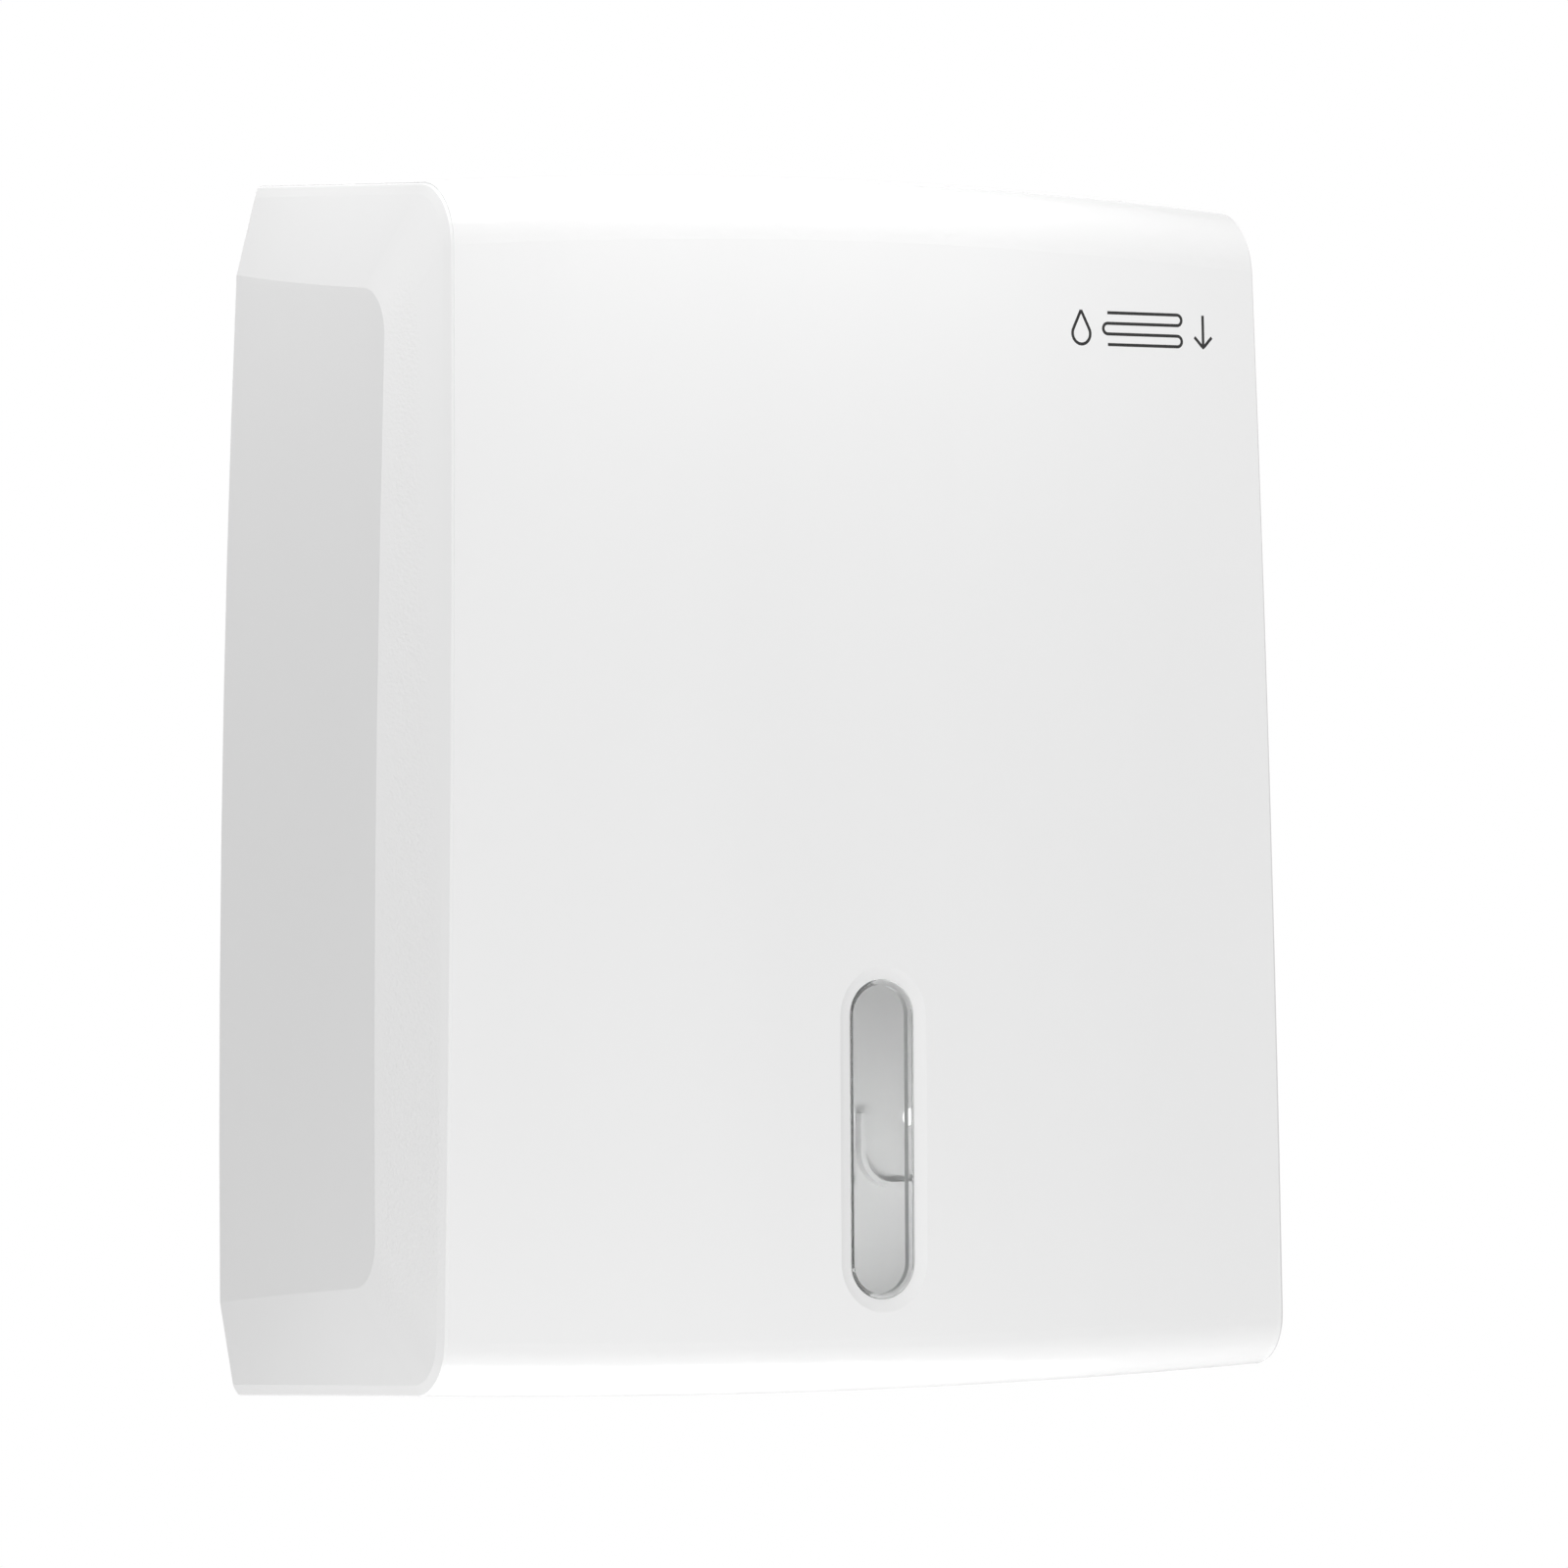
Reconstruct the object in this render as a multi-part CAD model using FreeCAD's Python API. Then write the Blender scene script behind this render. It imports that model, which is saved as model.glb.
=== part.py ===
"""Wall-mounted dispenser for folded paper hand towels.

A back plate screws to the wall and carries the outlet tray, the paper guides, the lock keeper and the
hinge pins. The one-piece cover swings forward and down about the two pins at its lower rear corners and
is locked at the top. Millimetres, +Z up, the wall is the plane Y = 0 and the front faces -Y. The origin
is on the wall, on the centreline, at mid-height of the cover's sides.
"""
import FreeCAD, Part
import math
import os

from FreeCAD import Matrix, Vector

os.makedirs("parts", exist_ok=True)

# ---------------------------------------------------------------- driving dimensions
WALL = 2.6                      # thickness of the cover's shell
REAR_GAP = 1.6                  # the cover's rear edge stands this far off the wall
REAR_OPEN_Y = 8.0               # the hollow is carried on past the wall, so that the rear is open

# side profile of the cover, in the plane of its side lip
HALF_HEIGHT = 170.4             # top and bottom edges at the wall
TOP_FALL = 0.0474               # the top drops this much per mm of depth
BOTTOM_RISE = 0.0567            # the bottom rises this much per mm of depth
FRONT_UPPER = Vector(0, -114.7, 145.0)
FRONT_LOWER = Vector(0, -121.8, -144.0)
FRONT_BOW = 1.4                 # the front's bulge between those two points, seen from the side
TOP_RADIUS = 19.0
BOTTOM_RADIUS = 15.5

# how much further the centre of each face stands out than the side profile
CROWN_TOP = 5.0
CROWN_BOTTOM = 2.8
CROWN_FRONT = 4.8
CREASE = 0.06                   # share of the crown that meets in a faint crease on the centreline

# plane of the side lip: half-width at mid-height of the front, then its taper in height and in depth
LIP_HALF_WIDTH = 131.35
LIP_TAPER_Z = 0.0195
LIP_TAPER_Y = 0.0229
LIP_FRONT_Y = -118.0
LIP_WIDTH = 3.2
LIP_RISE = 1.7                  # the lip's inner edge stands out this far, more towards the bottom
LIP_RISE_TAPER = 0.001
LIP_STEPS = ((0.12, 0.0), (0.5, 0.42), (LIP_WIDTH, 1.0))    # inwards, and share of the lip's rise

# flat outer panel of each cheek: half-widths at three heights, at the wall and near the front
PANEL_STATION = 145.0
PANEL_AT_WALL = (143.2, 142.6, 138.0)       # at -PANEL_STATION, 0 and +PANEL_STATION
PANEL_AT_FRONT = (142.7, 141.3, 138.7)
PANEL_FRONT_Y = -95.0
PANEL_CORNERS = {                           # corners of the panel's outline before rounding
    "top_wall": (0.0, 144.6),
    "top_front": (-94.3, 136.3),
    "bottom_front": (-96.0, -135.4),
    "bottom_wall": (0.0, -144.8),
}
PANEL_CORNER_RADIUS = 13.0

# plane a little outside the panel, to which the bevels are carried on before the panel trims them
APEX_X = 143.4
APEX_TAPER = 0.0165
BEVEL_INSET = 0.5               # the shell's inside is set in this much along the bevels
CHEEK_ROOT_X = 105.0            # how far the cheeks reach into the body
BODY_STATIONS = (0.0, 45.0, 90.0, 120.0, 145.0)

# hinge at the lower rear corners
PIVOT_Y = -13.0
PIVOT_Z = -163.0
PIN_RADIUS = 2.0
PIN_CLEARANCE = 0.05
BUSH_RADIUS = 3.5
BUSH_END_GAP = 0.4
BOSS_RADIUS = 6.0
LUG_RADIUS = 6.2
LUG_ROOT_DROP = 5.6             # the lug's root reaches this far below the pin
LUG_INNER_X = 119.0
LUG_OUTER_X = 127.2
BOSS_INNER_X = 128.2
PIN_END_X = 135.6
PIN_HEAD_RADIUS = 3.4
PIN_HEAD_LENGTH = 2.0
PIN_EDGE = 0.6                  # chamfer of the pin's tip and round of its head
PIN_PRESS = 0.02                # the press-fit bores are this much wider in radius
WALL_GAP = 0.6                  # the swinging corner clears the wall by this much

# openings in the cover's bottom
NOTCH_HALF_WIDTH = 128.0
NOTCH_DEPTH = 28.0
BOTTOM_CUT_TOP = -158.0         # openings in the bottom are cut from below up to here
MOUTH_HALF_WIDTH = 82.0
MOUTH_Y = (-93.0, -39.0)
MOUTH_RADIUS = 12.0

# level window
WINDOW_Z = -96.5
WINDOW_RADIUS = 10.3
WINDOW_HALF_STRAIGHT = 34.1
DISH_RADIUS = 14.1
DISH_DEPTH = 1.3
DISH_STEPS = ((1.0, -0.54), (0.0, 0.0), (-1.9, 0.65))       # beyond its radius in mm, share of its depth
LENS_GAP = 0.15
LENS_FRONT = 0.5                # depths below the cover's outer face
LENS_FLANGE_FRONT = 3.0
LENS_BACK = 4.1
LENS_WALL = 1.6
LENS_RIM_RADIUS = 1.2
LENS_FLANGE_RADIUS = 13.8
RETAINER_Y = (4.15, 6.15)
RETAINER_RADIUS = 20.0
RETAINER_OPENING_RADIUS = 12.2
WINDOW_SCREW_X = 16.9
WINDOW_SCREW_Z = 24.0
WINDOW_SCREW_RADIUS = 1.0
WINDOW_SCREW_LENGTH = 4.6
WINDOW_SCREW_HEAD_RADIUS = 2.1
WINDOW_SCREW_HEAD_HEIGHT = 1.4
WINDOW_BOSS_RADIUS = 2.6

# wall plate
PLATE_HALF_WIDTH = 124.0
PLATE_TOP = 163.5
PLATE_BOTTOM = -166.5
PLATE_THICKNESS = 2.6
PLATE_CORNER_RADIUS = 12.0
RIM_HEIGHT = 9.0
RIM_THICKNESS = 2.0
RIM_BOTTOM = -152.0
LEDGE_HALF_WIDTH = 127.2
LEDGE_DEPTH = 23.5
SCREW_HOLE_X = 82.0
SCREW_HOLE_Z = (104.0, -96.0)
SCREW_HOLE_RADIUS = 2.75
HOLE_RIB_HALF_WIDTH = 18.7
HOLE_RIB_HALF_HEIGHT = 20.3
HOLE_RIB_RADIUS = 11.0
HOLE_RIB_WIDTH = 1.6
HOLE_RIB_HEIGHT = 3.0
PLATE_FRONT = -PLATE_THICKNESS

# lock, upright in the top of the cover
LOCK_Y = -30.0
LOCK_FLANGE_RADIUS = 11.0
LOCK_FLANGE_TOP = 173.3
LOCK_FLANGE_THICKNESS = 1.6
LOCK_FLANGE_CHAMFER = 0.5
LOCK_BARREL_RADIUS = 8.0
LOCK_BARREL_BOTTOM = 155.5
LOCK_BARREL_FIT = 0.1
LOCK_BORE_RADIUS = 5.55
LOCK_PLUG_RADIUS = 5.5
PLUG_SQUARE = 6.4
PLUG_RECESS = 0.1               # the plug's top lies this far below the flange
SHOULDER_GAP = 0.2              # between the plug's shoulder and the cam
LOCK_PAD_RADIUS = 16.0
LOCK_PAD_BOTTOM = 168.3
LOCK_WASHER_RADIUS = 12.0
WASHER_THICKNESS = 0.85
STACK_GAP = 0.05                # between washers and the faces they lie on
NUT_CORNER_RADIUS = 12.4
NUT_LOW_RADIUS = 11.4
NUT_TOP_RADIUS = 16.0           # these two are of the cone that chamfers the nut's corners
NUT_HEIGHT = 3.5
KEY_SLOT_HALF_LENGTH = 3.3
KEY_SLOT_HALF_WIDTH = 0.8
KEY_SLOT_DEPTH = 6.0
CAM_TOP = 154.0
CAM_THICKNESS = 2.5
CAM_HUB_RADIUS = 7.0
CAM_ARM_HALF_WIDTH = 3.0
CAM_SCREW_LENGTH = 7.0
CAM_WASHER_RADIUS = 6.0
HOOK_INNER_RADIUS = 14.1
HOOK_OUTER_RADIUS = 18.5
HOOK_LEAD_ANGLE = 34.0          # the hook reaches this far ahead of the line on which it locks
HOOK_TRAIL_ANGLE = 52.0
HOOK_ARM_ANGLE = 42.0
CAM_REST_ANGLE = 180.0          # unlocked: the hook points to -X
KEEPER_TAB_Y = LOCK_Y + 11.4    # front face of the keeper's tab
KEEPER_THICKNESS = 1.5
KEEPER_TAB_HALF_WIDTH = 4.0
KEEPER_TAB_TOP = 157.5
KEEPER_ARM_Z = (148.0, 149.5)
KEEPER_ARM_HALF_WIDTH = 9.0
KEEPER_FOOT_HALF_WIDTH = 15.0
KEEPER_FOOT_BOTTOM = 130.0
KEEPER_FOOT_RADIUS = 3.0

# inner fittings, screwed to bosses of one height on the wall plate
SEAT_Y = PLATE_FRONT - 5.0      # front of the screw bosses
SEAT_BOSS_RADIUS = 3.6
FLANGE_THICKNESS = 2.0
SCREW_RADIUS = 1.5
SCREW_LENGTH = 8.0
SCREW_HEAD_RADIUS = 3.1
SCREW_HEAD_HEIGHT = 1.9
SCREW_FIT = 0.05
SCREW_END_GAP = 0.1             # a pilot hole runs this far beyond the screw's tip
TRAY_HALF_WIDTH = 116.0
TRAY_FRONT_Y = -108.0
TRAY_FLOOR_Z = (-158.0, -155.6)
TRAY_RAIL_TOP = -150.5
TRAY_WALL = 2.0
TRAY_RADIUS = 5.0
TRAY_TAB_X = 96.0
TRAY_TAB_HALF_WIDTH = 9.0
TRAY_TAB_BOTTOM = -165.0
TRAY_SCREW_Z = -161.4
SLOT_HALF_WIDTH = 74.0
SLOT_Y = (-80.0, -44.0)
SLOT_RADIUS = 14.0
SLOT_LIP_RADIUS = 1.6
FUNNEL_BOTTOM = -163.0
GUIDE_X = 118.6
GUIDE_THICKNESS = 2.0
GUIDE_FRONT_Y = -68.0
GUIDE_FOOT_WIDTH = 11.0
GUIDE_TOP_FALL = 22.0           # the web's front is this much lower than its rear
GUIDE_TOP_RADIUS = 16.0
GUIDE_BOTTOM_RADIUS = 8.0
GUIDE_Z = (-149.0, 118.0)
GUIDE_SCREW_X = 112.5
GUIDE_SCREW_Z = (-112.0, 0.0, 92.0)
KEEPER_SCREW_X = 9.0
KEEPER_SCREW_Z = 137.0
BUFFER_X = 100.0
BUFFER_Z = 152.0
BUFFER_RADIUS = 4.0
BUFFER_FRONT_Y = -10.3
BUFFER_ROUND = 1.2
BUFFER_STEM_RADIUS = 2.0
BUFFER_STEM_END_Y = -0.6
BUFFER_RIB_HALF_WIDTH = 1.5
BUFFER_RIB_FRONT_Y = -34.0
BUFFER_RIB_BOTTOM = 147.0
CONTACT_GAP = 0.3               # between the closed cover's ribs and the buffers

# proportions of every screw, as shares of its shank radius, head radius or head height
TIP_CHAMFER = 0.35
HEAD_ROUND = 0.45
DRIVE_LENGTH = 1.1
DRIVE_WIDTH = 0.28
DRIVE_DEPTH = 0.5

HOLE_CLEARANCE = 0.2            # screw holes are this much wider in radius than the shank
PAST = 1.0                      # cutters reach this far past the faces they open
FAR = 200.0                     # beyond every part
TOUCH = 0.01                    # tolerance for picking edges by their position

X_AXIS = Vector(1, 0, 0)
Y_AXIS = Vector(0, 1, 0)
Z_AXIS = Vector(0, 0, 1)


# ---------------------------------------------------------------- small helpers
def save(name, shape):
    """Write one sub-part and say how sound it is."""
    shape.exportStep(f"parts/{name}.step")
    print(f"{name}: {len(shape.Solids)} solid(s), valid {shape.isValid()}")


def box_between(x0, x1, y0, y1, z0, z1):
    return Part.makeBox(x1 - x0, y1 - y0, z1 - z0, Vector(x0, y0, z0))


def mirror_x(shape):
    return shape.mirror(Vector(0, 0, 0), X_AXIS)


def both_sides(shape):
    return shape.fuse(mirror_x(shape))


def compound_of(shapes):
    return Part.makeCompound(shapes)


def fuse_all(shapes):
    return shapes[0].multiFuse(shapes[1:])


def polyline_wire(points):
    return Part.makePolygon(points + [points[0]])


def rounded_polygon(corners, radii):
    """Wire through corners in one plane; radii gives each corner's radius, 0 for a sharp one."""
    count = len(corners)
    starts = []
    arcs = []
    ends = []
    for i, corner in enumerate(corners):
        if radii[i] == 0:
            starts.append(corner)
            ends.append(corner)
            arcs.append(None)
            continue
        before = (corners[i - 1] - corner).normalize()
        after = (corners[(i + 1) % count] - corner).normalize()
        half_angle = before.getAngle(after) / 2
        reach = radii[i] / math.tan(half_angle)
        middle = (before + after).normalize()
        tip = corner + middle * (radii[i] / math.sin(half_angle) - radii[i])
        starts.append(corner + before * reach)
        ends.append(corner + after * reach)
        arcs.append(Part.Arc(starts[-1], tip, ends[-1]).toShape())
    edges = []
    for i in range(count):
        if arcs[i]:
            edges.append(arcs[i])
        edges.append(Part.LineSegment(ends[i], starts[(i + 1) % count]).toShape())
    return Part.Wire(edges)


def rounded_slab(x0, x1, z0, z1, radius, y0, y1):
    """Plate standing in the XZ plane with four round corners, from y0 to y1."""
    corners = [Vector(x0, y0, z0), Vector(x1, y0, z0), Vector(x1, y0, z1), Vector(x0, y0, z1)]
    wire = rounded_polygon(corners, [radius] * 4)
    return Part.Face(wire).extrude(Vector(0, y1 - y0, 0))


def flat_slab(x0, x1, y0, y1, radius, z0, z1):
    """Plate lying in the XY plane with four round corners, from z0 to z1."""
    corners = [Vector(x0, y0, z0), Vector(x1, y0, z0), Vector(x1, y1, z0), Vector(x0, y1, z0)]
    wire = rounded_polygon(corners, [radius] * 4)
    return Part.Face(wire).extrude(Vector(0, 0, z1 - z0))


def cylinder_x(radius, x0, x1, y, z):
    return Part.makeCylinder(radius, x1 - x0, Vector(x0, y, z), X_AXIS)


def cylinder_y(radius, y0, y1, x, z):
    return Part.makeCylinder(radius, y1 - y0, Vector(x, y0, z), Y_AXIS)


def cylinder_z(radius, z0, z1, x, y):
    return Part.makeCylinder(radius, z1 - z0, Vector(x, y, z0), Z_AXIS)


def pan_screw(shank_radius, shank_length, head_radius, head_height):
    """Cross-head screw along +Z: head above Z = 0, shank below."""
    shank = Part.makeCylinder(shank_radius, shank_length, Vector(0, 0, -shank_length))
    shank = shank.makeChamfer(TIP_CHAMFER * shank_radius, [shank.Edges[2]])
    head = Part.makeCylinder(head_radius, head_height)
    head = head.makeFillet(HEAD_ROUND * head_height, [head.Edges[0]])
    length = DRIVE_LENGTH * head_radius
    width = DRIVE_WIDTH * head_radius
    floor_z = (1 - DRIVE_DEPTH) * head_height
    slot = box_between(-length / 2, length / 2, -width / 2, width / 2, floor_z, head_height + PAST)
    cross = slot.fuse(slot.rotated(Vector(0, 0, 0), Z_AXIS, 90))
    return shank.fuse(head).cut(cross)


def stand_along(shape, direction, place):
    """Turn a shape made along +Z to point along direction, then move it to place."""
    turned = shape.copy()
    turned.Placement = FreeCAD.Placement(place, FreeCAD.Rotation(Z_AXIS, direction))
    return turned


# ---------------------------------------------------------------- form of the cover
def lip_x(y, z):
    """Half-width of the plane that holds the side lip."""
    return LIP_HALF_WIDTH - LIP_TAPER_Z * z + LIP_TAPER_Y * (y - LIP_FRONT_Y)


def lip_rise(z):
    """How far the lip's inner edge stands out from the lip's plane."""
    return LIP_RISE - LIP_RISE_TAPER * z


def panel_parabola(half_widths):
    """Constant, slope and curvature of a half-width that runs through three heights."""
    low, middle, high = half_widths
    slope = (high - low) / (2 * PANEL_STATION)
    curve = ((high + low) / 2 - middle) / PANEL_STATION**2
    return middle, slope, curve


def panel_half_width(y, z):
    """Half-width of the cheek's outer panel, a ruled surface between the wall and the front."""
    share = y / PANEL_FRONT_Y
    total = 0.0
    for weight, half_widths in ((1 - share, PANEL_AT_WALL), (share, PANEL_AT_FRONT)):
        middle, slope, curve = panel_parabola(half_widths)
        total += weight * (middle + slope * z + curve * z * z)
    return total


def apex_x(z):
    """Plane a little outside the panel, to which the bevels are carried on before it trims them."""
    return APEX_X - APEX_TAPER * z


def front_circle(crown):
    """Centre and radius of the front's side-view arc, moved out by its share of the crown."""
    outward = Vector(0, -CROWN_FRONT * crown, 0)
    upper = FRONT_UPPER + outward
    lower = FRONT_LOWER + outward
    chord = upper - lower
    radius = (chord.Length**2 / 4 + FRONT_BOW**2) / (2 * FRONT_BOW)
    inward = Vector(0, chord.z, -chord.y).normalize()
    centre = (upper + lower) / 2 + inward * (radius - FRONT_BOW)
    return centre, radius


def corner_centre(line_z, slope, side, corner_radius, circle):
    """Centre of the round between a nearly level line and the front's arc.

    The line runs through Z = line_z at the wall; side is +1 for the top and -1 for the bottom.
    """
    centre, radius = circle
    level = line_z - side * corner_radius * math.hypot(1, slope)
    reach = radius - corner_radius
    y = FRONT_LOWER.y
    for _ in range(40):
        z = level + slope * y
        y = centre.y - math.sqrt(reach**2 - (z - centre.z) ** 2)
    return Vector(0, y, level + slope * y)


def side_outline(crown, inset, back_y, x):
    """Closed side view of the cover at the plane x.

    crown is 1 on the centreline and 0 at the side lip. inset moves the outline inwards.
    """
    circle = front_circle(crown)
    centre, radius = circle
    top_z = HALF_HEIGHT + CROWN_TOP * crown
    bottom_z = -HALF_HEIGHT - CROWN_BOTTOM * crown
    top_slope = TOP_FALL
    bottom_slope = -BOTTOM_RISE
    top = corner_centre(top_z, top_slope, 1, TOP_RADIUS, circle)
    bottom = corner_centre(bottom_z, bottom_slope, -1, BOTTOM_RADIUS, circle)

    up = Vector(0, -top_slope, 1).normalize()
    down = Vector(0, bottom_slope, -1).normalize()
    top_start = top + up * (TOP_RADIUS - inset)
    bottom_end = bottom + down * (BOTTOM_RADIUS - inset)
    to_top = (top - centre).normalize()
    to_bottom = (bottom - centre).normalize()
    front_top = centre + to_top * (radius - inset)
    front_bottom = centre + to_bottom * (radius - inset)
    top_tip = top + (up + to_top).normalize() * (TOP_RADIUS - inset)
    bottom_tip = bottom + (down + to_bottom).normalize() * (BOTTOM_RADIUS - inset)
    front_tip = centre + (to_top + to_bottom).normalize() * (radius - inset)
    top_back = Vector(0, back_y, top_start.z + top_slope * (back_y - top_start.y))
    bottom_back = Vector(0, back_y, bottom_end.z + bottom_slope * (back_y - bottom_end.y))

    edges = [
        Part.LineSegment(bottom_back, top_back).toShape(),
        Part.LineSegment(top_back, top_start).toShape(),
        Part.Arc(top_start, top_tip, front_top).toShape(),
        Part.Arc(front_top, front_tip, front_bottom).toShape(),
        Part.Arc(front_bottom, bottom_tip, bottom_end).toShape(),
        Part.LineSegment(bottom_end, bottom_back).toShape(),
    ]
    wire = Part.Wire(edges)
    wire.translate(Vector(x, 0, 0))
    return wire


def on_plane(wire, constant, per_y, per_z):
    """Shear a wire in the YZ plane onto the plane x = constant + per_y * y + per_z * z."""
    matrix = Matrix()
    matrix.A12 = per_y
    matrix.A13 = per_z
    matrix.A14 = constant
    return wire.transformGeometry(matrix)


def crown_at(x):
    share = x / LIP_HALF_WIDTH
    return 1 - (1 - CREASE) * share**2 - CREASE * share


def cheek_apex_outline(inset, back_y):
    """Outline of the bevels where they reach the plane outside the panel, in the YZ plane."""
    lip_corners = {
        "top_wall": (0.0, HALF_HEIGHT - LIP_WIDTH),
        "top_front": (FRONT_UPPER.y + LIP_WIDTH, HALF_HEIGHT + TOP_FALL * FRONT_UPPER.y - LIP_WIDTH),
        "bottom_front": (FRONT_LOWER.y + LIP_WIDTH, -HALF_HEIGHT - BOTTOM_RISE * FRONT_LOWER.y + LIP_WIDTH),
        "bottom_wall": (0.0, -HALF_HEIGHT + LIP_WIDTH),
    }
    apex = {}
    for name, (lip_y, lip_z) in lip_corners.items():
        y, z = PANEL_CORNERS[name]
        start = lip_x(lip_y, lip_z) + lip_rise(lip_z)
        carry = (apex_x(z) - start) / (panel_half_width(y, z) - start)
        apex[name] = Vector(0, lip_y + (y - lip_y) * carry, lip_z + (z - lip_z) * carry)

    top_slope = (apex["top_wall"].z - apex["top_front"].z) / (apex["top_wall"].y - apex["top_front"].y)
    bottom_slope = (apex["bottom_wall"].z - apex["bottom_front"].z) / -apex["bottom_front"].y
    corners = [
        Vector(0, back_y, apex["bottom_wall"].z + bottom_slope * back_y + inset),
        Vector(0, back_y, apex["top_wall"].z + top_slope * back_y - inset),
        apex["top_front"] + Vector(0, inset, -inset),
        apex["bottom_front"] + Vector(0, inset, inset),
    ]
    return rounded_polygon(corners, [0, 0, PANEL_CORNER_RADIUS, PANEL_CORNER_RADIUS])


def cheek(thickness, back_y):
    """Right-hand cheek: lip with a rounded-off edge, then bevels, trimmed by the bowed outer panel."""
    inset = BEVEL_INSET * thickness / WALL
    lip_constant = LIP_HALF_WIDTH - LIP_TAPER_Y * LIP_FRONT_Y - thickness
    wires = []
    for inwards, share in LIP_STEPS if thickness == 0 else LIP_STEPS[-1:]:
        outline = side_outline(0, inwards + inset, back_y, 0)
        per_z = -LIP_TAPER_Z - share * LIP_RISE_TAPER
        wires.append(on_plane(outline, lip_constant + share * LIP_RISE, LIP_TAPER_Y, per_z))
    first_inset = LIP_STEPS[0][0] if thickness == 0 else LIP_WIDTH + inset
    root = on_plane(side_outline(0, first_inset, back_y, 0), CHEEK_ROOT_X, 0, 0)
    apex = on_plane(cheek_apex_outline(inset, back_y), APEX_X - thickness, 0, -APEX_TAPER)
    lip = Part.makeLoft([root] + wires, True, True)
    bevels = Part.makeLoft([wires[-1], apex], True, True)
    return lip.fuse(bevels).common(panel_trim(thickness))


def panel_trim(thickness):
    """Solid bounded on its right by the bowed surface of the outer panel."""
    behind_wall = 12.0
    before_front = -130.0
    wires = []
    for y in (behind_wall, before_front):
        heights = (-FAR, 0.0, FAR)
        bottom, middle, top = [Vector(panel_half_width(y, z) - thickness, y, z) for z in heights]
        inner_top = Vector(CHEEK_ROOT_X - PAST, y, FAR)
        inner_bottom = Vector(CHEEK_ROOT_X - PAST, y, -FAR)
        wires.append(
            Part.Wire([
                Part.Arc(bottom, middle, top).toShape(),
                Part.LineSegment(top, inner_top).toShape(),
                Part.LineSegment(inner_top, inner_bottom).toShape(),
                Part.LineSegment(inner_bottom, bottom).toShape(),
            ])
        )
    return Part.makeLoft(wires, True, True)


def cover_form(thickness, back_y):
    """Right half of the cover as a solid, moved inwards by thickness."""
    outlines = [side_outline(crown_at(x), thickness, back_y, x) for x in BODY_STATIONS]
    body = Part.makeLoft(outlines, True, False)
    corners = ((FAR, -FAR), (FAR, FAR), (-FAR, FAR), (-FAR, -FAR))
    side_plane = [Vector(lip_x(y, z) - thickness, y, z) for y, z in corners]
    beyond = Part.Face(polyline_wire(side_plane)).extrude(Vector(FAR, 0, 0))
    return body.cut(beyond).fuse(cheek(thickness, back_y))


def front_y(z):
    """Depth of the cover's outer front on the centreline."""
    centre, radius = front_circle(1)
    return centre.y - math.sqrt(radius**2 - (z - centre.z) ** 2)


# ---------------------------------------------------------------- level window
def window_place():
    """Placement of the window's own frame: X across, Y into the cover, Z up the front."""
    centre, radius = front_circle(1)
    lean = math.asin((WINDOW_Z - centre.z) / radius)
    turn = FreeCAD.Rotation(X_AXIS, -math.degrees(lean))
    return FreeCAD.Placement(Vector(0, front_y(WINDOW_Z), WINDOW_Z), turn)


def stadium(radius, y):
    """Upright stadium wire around the window's centre at depth y."""
    half = WINDOW_HALF_STRAIGHT
    upper = Vector(0, y, half)
    lower = Vector(0, y, -half)
    across = Vector(radius, 0, 0)
    rise = Vector(0, 0, radius)
    return Part.Wire([
        Part.LineSegment(lower + across, upper + across).toShape(),
        Part.Arc(upper + across, upper + rise, upper - across).toShape(),
        Part.LineSegment(upper - across, lower - across).toShape(),
        Part.Arc(lower - across, lower - rise, lower + across).toShape(),
    ])


def stadium_slab(radius, y0, y1):
    return Part.Face(stadium(radius, y0)).extrude(Vector(0, y1 - y0, 0))


def placed_at_window(shape):
    moved = shape.copy()
    moved.Placement = window_place().multiply(moved.Placement)
    return moved


def window_screw_points():
    """Screw positions of the window's retainer, in the window's own frame."""
    return [(x, z) for x in (-WINDOW_SCREW_X, WINDOW_SCREW_X) for z in (-WINDOW_SCREW_Z, WINDOW_SCREW_Z)]


def window_cutter():
    """Slot for the lens with the shallow concave dish around it."""
    slot = stadium_slab(WINDOW_RADIUS, -WALL, 2 * WALL)
    wires = [stadium(DISH_RADIUS + beyond, share * DISH_DEPTH) for beyond, share in DISH_STEPS]
    wires.append(stadium(WINDOW_RADIUS - HOLE_CLEARANCE, DISH_DEPTH))
    return placed_at_window(slot.fuse(Part.makeLoft(wires, True, False)))


def window_bosses():
    root_y = WALL - CONTACT_GAP
    points = window_screw_points()
    bosses = [cylinder_y(WINDOW_BOSS_RADIUS, root_y, RETAINER_Y[0], x, z) for x, z in points]
    return placed_at_window(fuse_all(bosses))


def window_pilot_holes():
    radius = WINDOW_SCREW_RADIUS + SCREW_FIT
    tip_y = RETAINER_Y[1] - WINDOW_SCREW_LENGTH - SCREW_END_GAP
    holes = [cylinder_y(radius, tip_y, RETAINER_Y[1], x, z) for x, z in window_screw_points()]
    return placed_at_window(fuse_all(holes))


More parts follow.
